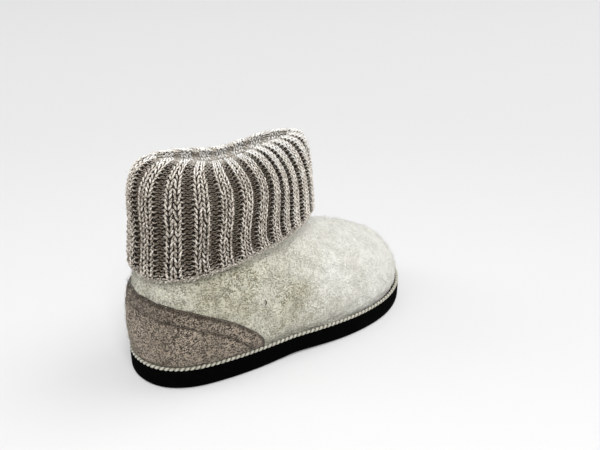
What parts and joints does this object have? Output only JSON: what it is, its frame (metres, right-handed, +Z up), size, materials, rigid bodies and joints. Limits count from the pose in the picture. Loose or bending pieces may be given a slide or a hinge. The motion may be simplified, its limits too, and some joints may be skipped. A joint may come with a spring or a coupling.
{
  "type": "slipper boot",
  "caption": "Child's right slipper boot: boiled-wool upper with a darker heel counter, flat rubber sole with a cord at its edge, and a rib-knit cuff folded over the ankle.",
  "frame": {"origin": "on the floor, under the middle of the boot's box", "axes": "+X to the toe, -Y to the outer side of the right foot, +Z up"},
  "size_m": [0.185, 0.0786, 0.121],
  "materials": {
    "sole_rubber": "matt black rubber with a fine grain",
    "cream_cord": "twisted cream cord",
    "footbed_felt": "pressed felt",
    "light_felt": "boiled wool, light greige melange with short loose fibres",
    "taupe_felt": "boiled wool, taupe melange",
    "rib_knit": "rib knit in taupe and pinkish-beige melange yarn"
  },
  "bodies": {
    "root": {"outsole": "sole_rubber", "welt": "cream_cord", "insole": "footbed_felt", "upper": "light_felt", "heel_counter": "taupe_felt", "cuff": "rib_knit"}
  },
  "joints": []
}
